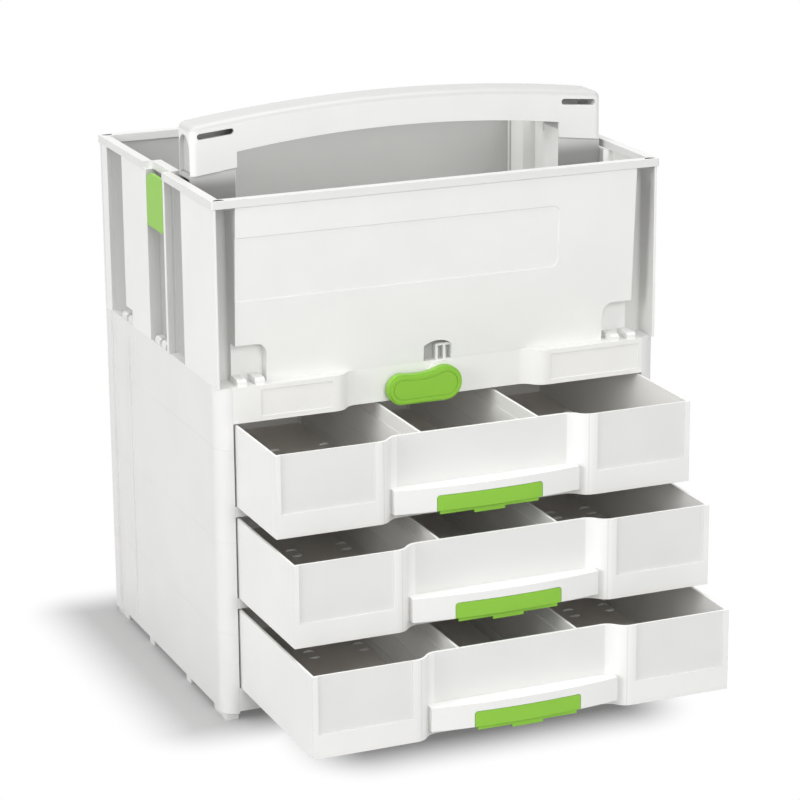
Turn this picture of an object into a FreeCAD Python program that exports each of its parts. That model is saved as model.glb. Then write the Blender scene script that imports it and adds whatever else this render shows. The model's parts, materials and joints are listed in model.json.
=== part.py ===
import FreeCAD, Part
import math
import os

V = FreeCAD.Vector

# ------------------------------------------------------------------ driving dimensions (mm)
# overall boxes; +Z up, origin on the floor at the middle of the tote's footprint
case_width = 396.0
case_depth = 296.0
cabinet_height = 286.0
tote_height = 154.0
front_bow = 11.0
foot_height = 6.0

# wall thicknesses
side_skin = 3.0
drawer_wall = 2.2
drawer_front = 3.0
drawer_floor = 2.2
deck_thickness = 3.0
shelf_thickness = 2.5
back_skin = 3.0

# running gaps
gap_side = 0.8
gap_under = 0.2
gap_over = 1.2
gap_pin = 0.05
gap_flat = 0.3

# cabinet
pillar_width = 13.8
pillar_depth = 20.0
pillar_radius = 13.4
back_radius = 8.0
skin_inset = 2.0
bay_count = 3
side_rib_place = 0.55
side_rib_end = 12.0
side_rib_width = 3.0
side_rib_rise = 1.5
long_foot = 30.0
short_foot = 12.0
foot_inset = 4.0
foot_setback = 3.0
base_rib = 2.0
base_rib_height = 4.0
rail_lip = 2.0
rail_label_margin = 4.0
rail_label_end = 3.0
left_label_end = -160.0
rail_label_depth = 0.8
back_field_frame = 22.0
back_field_depth = 1.0
floor_gap = 2.0
top_rail_height = 30.0
rail_height = 9.0
base_height = 28.0
rail_thickness = 3.2
rail_depth = 14.0
ledge_drop = 3.0
ledge_reach = 9.0
guide_height = 8.0
lug_height = 5.5
lug_width = 8.0
wide_lug_width = 12.0
lug_space = 4.5
lug_slope = 2.0
front_lug_pitch = 15.5
front_lug_depth = 18.0
side_lug_depth = 6.5

# s-shaped step in the plan of every front
step_outer = 95.0
step_run = 22.0

# drawers, the top one first
drawer_length = 284.0
drawer_open = (90.0, 126.0, 163.0)
drawer_travel = 200.0
divider_x = 52.0
divider_blade = 2.4
divider_foot = 3.4
divider_foot_height = 8.0
divider_drop = 1.5
divider_band_heights = (23.6, 48.0)
divider_band = 5.0
slot_rib = 1.6
slot_drop = 4.0
slot_reach = 3.0
label_margin = 4.6
label_band = 20.0
label_depth = 1.2
stop_height = 4.0
stop_length = 8.0

# pull ledge and trigger
pull_half = 82.0
pull_bow = 6.0
pull_end = 0.5
pull_height = 20.0
pull_lift = 6.0
pull_skin = 2.5
notch_reach = 2.0
trigger_half = 46.5
trigger_height = 13.0
trigger_skin = 2.6
trigger_lip = 3.2
trigger_cheek = 3.0
trigger_boss_radius = 3.0
trigger_lip_gap = 0.4
trigger_lip_width = 2.0
trigger_shelf_width = 4.5
hinge_setback = 4.8
hinge_drop = 3.7
ear_room = 0.6
trigger_tab_half = 13.5
trigger_tab_drop = 2.4
trigger_pin_radius = 1.5
trigger_ear = 3.0
trigger_corner = 3.0

# rotary latch knob
knob_reach = 38.5
knob_x = 3.5
knob_bore_depth = 5.5
knob_pivot_radius = 14.7
knob_end_radius = 13.0
knob_waist_radius = 60.0
knob_thickness = 7.5
knob_edge = 1.5
knob_height = 18.0
knob_groove_inset = 4.2
knob_groove_width = 0.9
knob_groove_depth = 0.5
boss_radius = 17.0
boss_depth = 2.5
boss_wall = 4.0
pivot_radius = 3.0
pivot_head_radius = 5.5
pivot_head_depth = 2.0

# tote
tote_wall = 2.8
tote_floor = 4.0
front_draft = 9.5
rim_side = 8.0
rim_end = 8.5
rim_height = 6.5
rim_overhang = 1.5
rim_radius = 1.5
rim_hole = 4.8
rim_lip = 2.5
rim_thumb_corner = 5.0
rim_thumb_play = 3.0
corner_fin = 3.7
corner_channel = 16.3
corner_deep = 28.0
corner_shallow = 5.0
side_corner_channel = 41.0
side_back_fin = 20.0
side_corner_deep = 13.5
curve_run = 0.66
curve_rise = 0.24
pocket_width = 27.0
pocket_height = 32.0
pocket_depth = 20.0
pocket_radius = 9.0
side_pocket_height = 14.0
side_pocket_width = 18.0
catch_half = 12.6
catch_height = 17.0
catch_arch = 4.0
catch_bar = 2.2
catch_bar_places = (-1.0, 6.0)
catch_depth = 19.0
label_low = 355.0
label_high = 408.0
label_right = 108.0
label_recess = 0.8
label_corner = 7.0

# carrying handle
grip_inset = 12.8
grip_y = -47.0
grip_thickness = 34.0
grip_skin = 2.8
grip_rise = 13.0
palm_rise = 10.0
grip_end_top = 43.0
grip_depth = 23.0
grip_corner = 6.5
grip_round = 5.5
post_width = 39.5
post_bottom = 2.0
post_slope = 5.0
end_recess = 4.0
end_frame = 4.5
end_recess_radius = 12.0
end_lintel = 2.0
handle_travel = 50.0
leg_inset = 0.4
leg_depth = 95.0
leg_wall = 3.0
leg_chamfer = 6.0
guide_rib = 3.0
guide_drop = 2.0
guide_reach = 4.0
finger_slot = 27.0
finger_slot_height = 5.0
finger_slot_inset = 21.5
finger_slot_drop = 7.0
finger_slot_tilt = 5.0

# lock levers
channel_width = 41.0
channel_depth = 9.5
lever_channel = 43.0
lever_channel_depth = 13.5
channel_gap = 4.5
channel_corner = 3.0
lever_gap = 0.5
lever_drop = 1.2
lever_height = 47.0
lever_thickness = 3.2
lever_pin_radius = 1.75
lever_boss_radius = 3.8
lever_boss_room = 1.0
lever_lug_inset = 2.0
lever_ear = 4.0
lever_ear_radius = 3.0
lever_lug = 4.0
lever_corner = 12.0
lever_foot_corner = 3.0

# fasteners
screw_radius = 1.6
screw_bite = 7.0
leg_screw_height = 8.0
screw_grip = 1.9
screw_head_radius = 3.6
screw_head_height = 2.2

# ------------------------------------------------------------------ derived sizes
half_width = case_width / 2
half_depth = case_depth / 2
front_y = -half_depth
mid_front_y = front_y + front_bow
rim_z = cabinet_height + tote_height
rim_low_z = rim_z - rim_height
panel_x = half_width - rim_overhang
panel_y = half_depth - rim_overhang
bay_half = half_width - pillar_width
bay_height = (cabinet_height - base_height - top_rail_height - (bay_count - 1) * rail_height) / bay_count
drawer_half = bay_half - 2 * gap_side
drawer_height = bay_height - gap_under - gap_over
deck_z = cabinet_height - deck_thickness
bay_pitch = bay_height + rail_height
rail_top_z = cabinet_height - top_rail_height
grip_half = half_width - grip_inset
finger_slot_x = grip_half - finger_slot_inset


# ------------------------------------------------------------------ small helpers
def box(x0, x1, y0, y1, z0, z1):
    """Block between two corners."""
    return Part.makeBox(x1 - x0, y1 - y0, z1 - z0, V(x0, y0, z0))


def mirrored(shape):
    return shape.mirror(V(0, 0, 0), V(1, 0, 0))


def both_sides(shape):
    """A shape and its mirror image across the middle plane x = 0."""
    return [shape, mirrored(shape)]


def rod(start, direction, radius, length):
    return Part.makeCylinder(radius, length, start, direction)


def prism(edges, direction):
    """Solid swept from a closed outline along a straight line."""
    return Part.Face(Part.Wire(Part.__sortEdges__(edges))).extrude(direction)


def polygon(points, direction):
    return Part.Face(Part.makePolygon(points + [points[0]])).extrude(direction)


def is_along(edge, axis):
    """True for a straight edge that runs along one axis, "X", "Y" or "Z"."""
    size = edge.BoundBox
    lengths = {"X": size.XLength, "Y": size.YLength, "Z": size.ZLength}
    return lengths.pop(axis) > 0.01 and max(lengths.values()) < 0.01


def round_edges(shape, radius, axis, test):
    """Fillet the straight edges along an axis whose middle passes a test."""
    edges = [e for e in shape.Edges if is_along(e, axis) and test(e.BoundBox.Center)]
    return shape.makeFillet(radius, edges)


def near(a, b):
    return abs(a - b) < 0.01


def fuse(first, others):
    """One solid from a body and what is moulded on it."""
    return first.multiFuse(others).removeSplitter()


def cut_all(shape, cutters):
    return shape.cut(Part.makeCompound(cutters))


def bay_floor_z(bay):
    """Top of the surface that a drawer runs on; bay 0 is the top one."""
    return base_height + (bay_count - 1 - bay) * bay_pitch


def s_step(side, y_proud, y_back, z):
    """Two tangent arcs that lead a front from its proud end part to its set-back middle."""
    x_near = step_outer - step_run
    rise = y_back - y_proud
    radius = (step_run ** 2 + rise ** 2) / (4 * rise)
    half_angle = math.asin(step_run / 2 / radius) / 2
    dx = radius * math.sin(half_angle)
    dy = radius * (1 - math.cos(half_angle))
    mid = V(side * (step_outer + x_near) / 2, (y_proud + y_back) / 2, z)
    first = Part.Arc(V(side * step_outer, y_proud, z), V(side * (step_outer - dx), y_proud + dy, z), mid)
    second = Part.Arc(mid, V(side * (x_near + dx), y_back - dy, z), V(side * x_near, y_back, z))
    return [first.toShape(), second.toShape()]


def front_line(half_length, y_proud, z):
    """Plan line of a front from one end to the other."""
    y_back = y_proud + front_bow
    x_near = step_outer - step_run
    edges = [Part.makeLine(V(-x_near, y_back, z), V(x_near, y_back, z))]
    for side in (-1, 1):
        edges += s_step(side, y_proud, y_back, z)
        edges.append(Part.makeLine(V(side * half_length, y_proud, z), V(side * step_outer, y_proud, z)))
    return edges


def front_band(half_length, y_proud, depth, z0, z1):
    """Wall whose plan is proud at both ends and set back in the middle."""
    edges = front_line(half_length, y_proud, z0) + front_line(half_length, y_proud + depth, z0)
    for x in (-half_length, half_length):
        edges.append(Part.makeLine(V(x, y_proud, z0), V(x, y_proud + depth, z0)))
    return prism(edges, V(0, 0, z1 - z0))


def front_plate(half_length, y_proud, y_end, z0, z1):
    """Plate whose front edge follows the same plan as the fronts."""
    edges = front_line(half_length, y_proud, z0)
    for x in (-half_length, half_length):
        edges.append(Part.makeLine(V(x, y_proud, z0), V(x, y_end, z0)))
    edges.append(Part.makeLine(V(-half_length, y_end, z0), V(half_length, y_end, z0)))
    return prism(edges, V(0, 0, z1 - z0))


# ------------------------------------------------------------------ drawer cabinet
skin_x = half_width - skin_inset
side_y0 = front_y + pillar_depth
side_y1 = half_depth - pillar_depth
ledge_x = bay_half - ledge_reach
guide_x = drawer_half + gap_side
screw_x = bay_half - ledge_reach / 2
screw_ys = (-0.35 * case_depth, 0.35 * case_depth)


def cabinet_side():
    """Right side: skin between two corner pillars, guide ribs, ledges, top lugs and feet."""
    front = box(bay_half, half_width, front_y, side_y0, foot_height, cabinet_height)
    front = round_edges(front, pillar_radius, "Z", lambda c: near(c.x, half_width) and near(c.y, front_y))
    back = box(bay_half, half_width, side_y1, half_depth, foot_height, cabinet_height)
    back = round_edges(back, back_radius, "Z", lambda c: near(c.x, half_width) and near(c.y, half_depth))
    inner_x = skin_x - side_skin
    parts = [back, box(inner_x, skin_x, side_y0, side_y1, foot_height, cabinet_height)]
    for bay in range(bay_count):
        floor_z = bay_floor_z(bay)
        parts.append(box(guide_x, inner_x, side_y0, side_y1, floor_z, floor_z + guide_height))
        low_z = floor_z - shelf_thickness
        parts.append(box(ledge_x, inner_x, side_y0, side_y1, low_z - ledge_drop, low_z))
    parts.append(box(ledge_x, inner_x, side_y0, side_y1, deck_z - ledge_drop, deck_z))
    parts.append(box(bay_half, inner_x, side_y0, side_y1, deck_z, cabinet_height))
    rib_y = half_depth * side_rib_place
    parts.append(box(skin_x, skin_x + side_rib_rise, rib_y, rib_y + side_rib_width,
                     foot_height + side_rib_end, cabinet_height - side_rib_end))
    for y0, y1 in foot_spans():
        parts.append(box(bay_half, half_width - foot_setback, y0, y1, 0, foot_height))
    for y0, y1 in side_lug_spans():
        parts.append(side_lug(y0, y1))
    side = fuse(front, parts)
    holes = [screw_hole(screw_x, y) for y in screw_ys]
    return cut_all(side, holes)


def foot_spans():
    """Front and back of each foot: two long corner feet and two short ones between them."""
    end = half_depth - foot_inset
    spans = [(-end, long_foot - end), (end - long_foot, end)]
    for y in (-half_depth / 3, half_depth / 3):
        spans.append((y - short_foot / 2, y + short_foot / 2))
    return spans


def side_lug_spans():
    """Two pairs of coupling lugs along the top of a side, in the side pocket and under the lever."""
    pair = 2 * wide_lug_width + lug_space
    second = wide_lug_width + lug_space
    back_y = side_corner_span()[0] - wide_lug_width
    lever_y = (sum(lever_span()) - pair) / 2
    starts = (lever_y, lever_y + second, back_y, back_y + second)
    return [(y, y + wide_lug_width) for y in starts]


def side_lug(y0, y1):
    """Coupling lug on the side's top edge, with a sloped outer top."""
    x1 = skin_x - skin_inset / 2
    x0 = x1 - side_lug_depth
    low = cabinet_height - 1
    top = cabinet_height + lug_height
    points = [V(x0, y0, low), V(x0, y0, top), V(x1 - lug_slope, y0, top), V(x1, y0, top - lug_slope),
              V(x1, y0, low)]
    return polygon(points, V(0, y1 - y0, 0))


def base_plate_z():
    return base_height - shelf_thickness


def screw_hole(x, y):
    return rod(V(x, y, base_plate_z() - ledge_drop - 1), V(0, 0, 1), screw_radius + gap_pin, ledge_drop + 2)


def base_screws():
    """Pan-head screws that hold the base plate down on the side ledges, two a side."""
    seat_z = base_plate_z() - ledge_drop
    screws = []
    for y in screw_ys:
        start = V(screw_x, y, seat_z - screw_head_height)
        head = rod(start, V(0, 0, 1), screw_head_radius, screw_head_height)
        shank = rod(V(screw_x, y, seat_z), V(0, 0, 1), screw_radius, ledge_drop + screw_grip)
        screws += both_sides(head.fuse(shank).removeSplitter())
    return Part.makeCompound(screws)


def cabinet_base():
    """Bottom plate with its front rail and the ribs under it."""
    plate_z = base_plate_z()
    rib_z = plate_z - base_rib_height
    rib = base_rib
    plate = front_plate(bay_half, front_y, half_depth - back_skin, plate_z, base_height)
    rail = front_band(bay_half, front_y, rail_thickness, foot_height + floor_gap, base_height)
    rib_half = ledge_x - gap_flat
    back_y = half_depth - back_skin - base_rib_height
    parts = [rail]
    for y in (-half_depth / 2, 0, half_depth / 2):
        parts.append(box(-rib_half, rib_half, y, y + rib, rib_z, plate_z))
    for x in (rib_half - rib, rib_half / 3):
        parts += both_sides(box(x, x + rib, mid_front_y + rail_thickness, back_y, rib_z, plate_z))
    base = fuse(plate, parts)
    sockets = []
    for y in screw_ys:
        start = V(screw_x, y, plate_z - 1)
        socket = rod(start, V(0, 0, 1), screw_radius + gap_pin, screw_grip + 1 + gap_flat)
        sockets += both_sides(socket)
    return cut_all(base, sockets)


def rail_parts(z0, z1):
    """Front skin and rear lip of a cross rail."""
    skin = front_band(bay_half, front_y, rail_thickness, z0, z1)
    rear = front_band(bay_half, front_y + rail_depth - rail_lip, rail_lip, z0, z1)
    return [skin, rear]


def bay_shelf(bay):
    """Shelf that a drawer runs on, with the front rail that parts it from the bay below."""
    z = bay_floor_z(bay)
    plate = front_plate(bay_half, front_y, half_depth - back_skin, z - shelf_thickness, z)
    return fuse(plate, rail_parts(z - rail_height, z - 1))


def knob_pivot():
    """Where the knob's axis meets the face of its pad."""
    return V(knob_x, mid_front_y - boss_depth, cabinet_height - knob_height)


def cabinet_top():
    """Deck with the upper front rail, its label fields, the knob's pad and the coupling lugs."""
    deck = front_plate(bay_half, front_y, half_depth, deck_z, cabinet_height)
    rear = box(-bay_half, bay_half, half_depth - back_skin, half_depth, back_top_z(), deck_z + 1)
    pivot = knob_pivot()
    pad = rod(pivot, V(0, 1, 0), boss_radius, boss_depth - gap_flat)
    boss_back = mid_front_y + rail_depth
    start = V(pivot.x, mid_front_y - 1, pivot.z)
    boss = rod(start, V(0, 1, 0), boss_wall + pivot_radius, boss_back - mid_front_y)
    parts = rail_parts(rail_top_z, deck_z + 1) + [rear, pad, boss] + deck_lugs()
    top = fuse(deck, parts)
    z0 = rail_top_z + rail_label_margin
    z1 = cabinet_height - rail_label_margin
    y1 = front_y + rail_label_depth
    x0 = step_outer + rail_label_end
    left = box(left_label_end, -x0, front_y - 1, y1, z0, z1)
    right = box(x0, bay_half - rail_label_end, front_y - 1, y1, z0, z1)
    start = V(pivot.x, pivot.y - 1, pivot.z)
    bore = rod(start, V(0, 1, 0), pivot_radius + gap_pin, rail_depth + boss_depth + 2)
    return cut_all(top, [left, right, bore])


def deck_lug(x0, x1):
    """Long coupling lug with a sloped front top, standing on the deck."""
    y0 = front_y + skin_inset
    y1 = y0 + front_lug_depth
    low = deck_z + 1
    top = cabinet_height + lug_height
    points = [V(x0, y0, low), V(x0, y1, low), V(x0, y1, top), V(x0, y0 + lug_slope, top),
              V(x0, y0, top - lug_slope)]
    return polygon(points, V(x1 - x0, 0, 0))


def deck_lugs():
    """A pair of lugs at each front corner, in the tote's pocket and its corner channel."""
    x0 = pocket_x0() + lug_space
    lugs = []
    for x in (x0, x0 + front_lug_pitch):
        lugs += both_sides(deck_lug(x, x + lug_width))
    return lugs


def back_top_z():
    """Top of the loose back panel, under the deck's own rear wall."""
    return deck_z - top_rail_height / 2


def cabinet_back():
    """Back panel between the rear pillars, with a set-in field that stiffens it."""
    z0 = foot_height + floor_gap
    frame = back_field_frame
    panel = box(-bay_half, bay_half, half_depth - back_skin, half_depth, z0, back_top_z())
    field = box(-bay_half + frame, bay_half - frame, half_depth - back_field_depth, half_depth + 1,
                z0 + frame, back_top_z() - frame)
    field = round_edges(field, frame / 2, "Y", lambda c: True)
    return panel.cut(field)


# ------------------------------------------------------------------ rotary latch
def knob_outline(inset):
    """Plan of the knob in x and z: two lobes, a straight underside and a waisted top.

    The pivot is at the origin and the far lobe lies towards -x. The waist is one arc that
    touches both lobes, so its centre is the far corner of the triangle of the three centres.
    """
    r0 = knob_pivot_radius - inset
    r1 = knob_end_radius - inset
    waist = knob_waist_radius + inset
    lobe = V(-knob_reach, 0, knob_end_radius - knob_pivot_radius)
    span = lobe.Length
    along = ((waist + r0) ** 2 - (waist + r1) ** 2 + span ** 2) / (2 * span)
    across = math.sqrt((waist + r0) ** 2 - along ** 2)
    ahead = V(lobe.x / span, 0, lobe.z / span)
    upward = V(ahead.z, 0, -ahead.x)
    centre = ahead * along + upward * across
    touch0 = centre * (r0 / (waist + r0))
    touch1 = lobe + (centre - lobe) * (r1 / (waist + r1))
    chord = (touch0 + touch1) * 0.5 - centre
    dip = centre + chord * (waist / chord.Length)
    low0 = V(0, 0, -r0)
    low1 = V(lobe.x, 0, lobe.z - r1)
    return [
        Part.Arc(touch0, V(r0, 0, 0), low0).toShape(),
        Part.makeLine(low0, low1),
        Part.Arc(low1, V(lobe.x - r1, 0, lobe.z), touch1).toShape(),
        Part.Arc(touch1, dip, touch0).toShape(),
    ]


def latch_knob():
    """Two round lobes joined by a waist, with a stepped front edge and a blind bore behind."""
    pivot = knob_pivot()
    body = prism(knob_outline(0), V(0, knob_edge - knob_thickness, 0))
    face = prism(knob_outline(knob_edge), V(0, -knob_thickness, 0))
    knob = body.fuse(face).removeSplitter()
    bore = rod(V(0, 1, 0), V(0, -1, 0), pivot_radius + gap_pin, knob_bore_depth + 1)
    cut_y = V(0, -knob_thickness, 0)
    groove = prism(knob_outline(knob_groove_inset), cut_y)
    groove = groove.cut(prism(knob_outline(knob_groove_inset + knob_groove_width), cut_y))
    groove.translate(V(0, knob_groove_depth - knob_thickness, 0))
    knob = cut_all(knob, [bore, groove])
    knob.translate(V(pivot.x, pivot.y - gap_pin, pivot.z))
    return knob


def latch_pivot():
    """Headed pin from behind the rail's boss into the knob's blind bore."""
    pivot = knob_pivot()
    seat_y = mid_front_y + rail_depth
    head = rod(V(pivot.x, seat_y, pivot.z), V(0, 1, 0), pivot_head_radius, pivot_head_depth)
    reach = seat_y - pivot.y + knob_bore_depth - gap_flat
    shank = rod(V(pivot.x, seat_y, pivot.z), V(0, -1, 0), pivot_radius, reach)
    return head.fuse(shank).removeSplitter()


# ------------------------------------------------------------------ drawers
def drawer_front_y(bay):
    return front_y - drawer_open[bay]


def drawer_bottom_z(bay):
    return bay_floor_z(bay) + gap_under


def drawer_tray(bay):
    """Moulded drawer: walls and floor, stepped front with label recesses and the pull ledge."""
    y0 = drawer_front_y(bay)
    y1 = y0 + drawer_length
    z0 = drawer_bottom_z(bay)
    z1 = z0 + drawer_height
    front = front_band(drawer_half, y0, drawer_front, z0, z1)
    floor = front_plate(drawer_half, y0, y1, z0, z0 + drawer_floor)
    wall = box(drawer_half - drawer_wall, drawer_half, y0, y1, z0, z1)
    back = box(-drawer_half, drawer_half, y1 - drawer_wall, y1, z0, z1)
    stop_y = front_y + rail_depth + gap_flat + drawer_travel - drawer_open[bay]
    stop = box(drawer_half - drawer_wall, drawer_half, stop_y, stop_y + stop_length, z1 - 1,
               z1 + stop_height)
    parts = [floor, back] + both_sides(wall) + both_sides(stop) + divider_slots(bay) + pull_ledge(bay)
    tray = fuse(front, parts)
    label = box(step_outer + rail_label_end, drawer_half - label_margin, y0 - 1, y0 + label_depth,
                z0 + label_band, z1 + 1)
    return cut_all(tray, both_sides(label))


def divider_span(bay):
    """Front and back ends of a divider between the drawer's walls."""
    y0 = drawer_front_y(bay) + front_bow + drawer_front + gap_flat
    y1 = drawer_front_y(bay) + drawer_length - drawer_wall - gap_flat
    return y0, y1


def divider_slots(bay):
    """Upright ribs on the front and back walls that a divider drops between."""
    y0, y1 = divider_span(bay)
    z0 = drawer_bottom_z(bay)
    z1 = z0 + drawer_height - divider_drop - slot_drop
    offset = divider_foot / 2 + gap_flat / 2
    ribs = []
    for x in (divider_x + offset, divider_x - offset - slot_rib):
        ribs += both_sides(box(x, x + slot_rib, y0 - 1, y0 + slot_reach, z0, z1))
        ribs += both_sides(box(x, x + slot_rib, y1 - slot_reach, y1 + 1, z0, z1))
    return ribs


def drawer_divider(bay, side):
    """Lengthwise divider: a thin blade on a thicker foot, stiffened by two bands along it."""
    y0, y1 = divider_span(bay)
    z0 = drawer_bottom_z(bay) + drawer_floor
    z1 = drawer_bottom_z(bay) + drawer_height - divider_drop
    x = side * divider_x
    half = divider_foot / 2
    blade = box(x - divider_blade / 2, x + divider_blade / 2, y0, y1, z0, z1)
    parts = [box(x - half, x + half, y0, y1, z0, z0 + divider_foot_height)]
    for height in divider_band_heights:
        parts.append(box(x - half, x + half, y0, y1, z0 + height, z0 + height + divider_band))
    return fuse(blade, parts)


def pull_outline(bay, inset, z):
    """Plan of the pull ledge: an arc in front, straight ends, a flat back inside the front wall."""
    y0 = drawer_front_y(bay)
    half = pull_half - inset
    back_y = y0 + front_bow
    left = V(-half, y0 + pull_end, z)
    right = V(half, y0 + pull_end, z)
    return [
        Part.Arc(left, V(0, y0 - pull_bow + inset, z), right).toShape(),
        Part.makeLine(right, V(half, back_y, z)),
        Part.makeLine(V(half, back_y, z), V(-half, back_y, z)),
        Part.makeLine(V(-half, back_y, z), left),
    ]


def hinge_point(bay):
    """Middle of a trigger's hinge pin."""
    top = drawer_bottom_z(bay) + pull_lift + pull_height - pull_skin
    return V(0, drawer_front_y(bay) + hinge_setback, top - hinge_drop)


def ear_x():
    return trigger_half + gap_flat


def pull_ledge(bay):
    """Hollow grip ledge, open below, with a notch and two hinge ears for the trigger."""
    y0 = drawer_front_y(bay)
    z0 = drawer_bottom_z(bay) + pull_lift
    shell = prism(pull_outline(bay, 0, z0), V(0, 0, pull_height))
    hollow = prism(pull_outline(bay, pull_skin, z0 - 1), V(0, 0, pull_height - pull_skin + 1))
    notch_top = z0 + trigger_height + gap_flat
    notch = box(-ear_x(), ear_x(), y0 - pull_bow - 1, y0 + notch_reach, z0 - 1, notch_top)
    notch = round_edges(notch, trigger_corner, "Y", lambda c: near(c.z, notch_top))
    shell = cut_all(shell, [hollow, notch])
    hinge = hinge_point(bay)
    top = z0 + pull_height - pull_skin
    ear_radius = trigger_boss_radius + ear_room
    ear = box(ear_x(), ear_x() + trigger_ear, hinge.y - ear_radius, y0 + front_bow,
              hinge.z - ear_radius, top + 1)
    shell = shell.multiFuse(both_sides(ear)).removeSplitter()
    reach = ear_x() + trigger_ear + 1
    bore = rod(V(-reach, hinge.y, hinge.z), V(1, 0, 0), trigger_pin_radius + gap_pin, 2 * reach)
    shell = shell.cut(bore)
    return [shell]


def drawer_trigger(bay):
    """Finger trigger: bowed front skin, cheeks with hinge bores, a set-back lip and a middle tab."""
    y0 = drawer_front_y(bay)
    z0 = drawer_bottom_z(bay) + pull_lift
    hinge = hinge_point(bay)
    top = z0 + trigger_height
    outer = prism(pull_outline(bay, 0, z0), V(0, 0, trigger_height))
    inner = prism(pull_outline(bay, trigger_skin, z0 - 1), V(0, 0, trigger_height + 2))
    cheek_back = trigger_boss_radius - 1
    window = box(-trigger_half, trigger_half, y0 - pull_bow - 1, hinge.y + cheek_back, z0, top)
    window = round_edges(window, trigger_corner, "Y", lambda c: near(c.z, top))
    face = box(-trigger_half, trigger_half, y0 - pull_bow - 1, y0 + notch_reach, z0, top)
    band = outer.cut(inner).common(face).common(window)
    half = trigger_half - trigger_cheek
    radius = trigger_boss_radius
    cheek = box(half, trigger_half, y0 - pull_bow / 2, hinge.y + cheek_back, z0, top).common(window)
    knuckle = rod(V(half, hinge.y, hinge.z), V(1, 0, 0), radius, trigger_cheek)
    web = box(half, trigger_half, hinge.y - radius, hinge.y + cheek_back, top - radius, hinge.z)
    lip_y = y0 - pull_bow + trigger_skin + trigger_lip_gap
    lip_y1 = lip_y + trigger_lip_width
    shelf = box(-half, half, lip_y - 1, lip_y + trigger_shelf_width, z0, z0 + trigger_lip_width)
    lip = box(-half, half, lip_y, lip_y1, z0 - trigger_lip, z0 + 1)
    tab = box(-trigger_tab_half, trigger_tab_half, lip_y, lip_y1, z0 - trigger_lip - trigger_tab_drop, z0)
    trigger = fuse(band, both_sides(cheek) + both_sides(knuckle) + both_sides(web) + [shelf, lip, tab])
    bore = rod(V(-trigger_half - 1, hinge.y, hinge.z), V(1, 0, 0), trigger_pin_radius + gap_pin,
               2 * trigger_half + 2)
    return trigger.cut(bore)


def trigger_pin(bay):
    """Hinge pin through both ears and both cheeks."""
    hinge = hinge_point(bay)
    half = ear_x() + trigger_ear
    return rod(V(-half, hinge.y, hinge.z), V(1, 0, 0), trigger_pin_radius, 2 * half)


# ------------------------------------------------------------------ tote
def rib_span():
    """The thin upright rib between the handle's channel and the lever's channel."""
    y0 = grip_y + channel_width / 2
    return y0, y0 + channel_gap


def lever_span():
    y0 = rib_span()[1]
    return y0, y0 + lever_channel


def side_corner_span():
    """The curved channel in front of the back corner's box-shaped fin."""
    y1 = half_depth - side_back_fin
    return y1 - side_corner_channel, y1


def pocket_x0():
    return half_width - corner_fin - corner_channel - pocket_width


def front_corner_cutter(grow):
    """Deep upright channel behind the thin fin at a front corner."""
    x1 = half_width - corner_fin + grow
    x0 = half_width - corner_fin - corner_channel - grow
    y1 = front_y + corner_deep + grow
    cut = box(x0, x1, front_y - 1, y1, cabinet_height - 1, rim_low_z)
    return round_edges(cut, channel_corner + grow / 2, "Z", lambda c: near(c.y, y1))


def side_corner_cutter(grow):
    """Upright channel whose floor curves from its deep front side to its shallow back side."""
    y0, y1 = side_corner_span()
    z = cabinet_height - 1
    near_y = y0 - grow
    far_y = y1 + grow
    deep_x = half_width - side_corner_deep - grow
    shallow_x = half_width - corner_shallow - grow
    mouth_x = half_width + 1
    bend = V(deep_x + (shallow_x - deep_x) * curve_rise, near_y + (far_y - near_y) * curve_run, z)
    edges = [
        Part.makeLine(V(mouth_x, near_y, z), V(deep_x, near_y, z)),
        Part.Arc(V(deep_x, near_y, z), bend, V(shallow_x, far_y, z)).toShape(),
        Part.makeLine(V(shallow_x, far_y, z), V(mouth_x, far_y, z)),
        Part.makeLine(V(mouth_x, far_y, z), V(mouth_x, near_y, z)),
    ]
    return prism(edges, V(0, 0, rim_low_z - z))


def flat_channel(y0, y1, depth, grow):
    """Upright channel with a flat floor and rounded inner corners."""
    x0 = half_width - depth - grow
    cut = box(x0, half_width + 1, y0 - grow, y1 + grow, cabinet_height - 1, rim_low_z)
    return round_edges(cut, channel_corner + grow / 2, "Z", lambda c: near(c.x, x0))


def front_draft_cutter(grow):
    """Wedge that sets the front panel back towards its foot."""
    x = half_width - corner_fin - corner_channel / 2
    top_y = -panel_y + grow
    low_y = top_y + front_draft
    points = [V(-x, -half_depth - 1, cabinet_height), V(-x, low_y, cabinet_height), V(-x, top_y, rim_low_z),
              V(-x, -half_depth - 1, rim_low_z)]
    return polygon(points, V(2 * x, 0, 0))


def front_pocket_cutter(grow):
    """Pocket at the foot of the front panel beside the channel, its inner top corner rounded."""
    x0 = pocket_x0() - grow
    x1 = half_width - corner_fin - corner_channel / 2
    z1 = cabinet_height + pocket_height + grow
    cut = box(x0, x1, -half_depth - 1, -half_depth + pocket_depth + grow, cabinet_height - 1, z1)
    return round_edges(cut, pocket_radius, "Y", lambda c: near(c.x, x0) and near(c.z, z1))


def side_pocket_cutter(grow):
    """Low pocket in the side panel for a pair of coupling lugs."""
    y1 = side_corner_span()[0] + 1
    x0 = half_width - channel_depth - grow
    return box(x0, half_width + 1, y1 - side_pocket_width - grow, y1, cabinet_height - 1,
               cabinet_height + side_pocket_height + grow)


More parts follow.
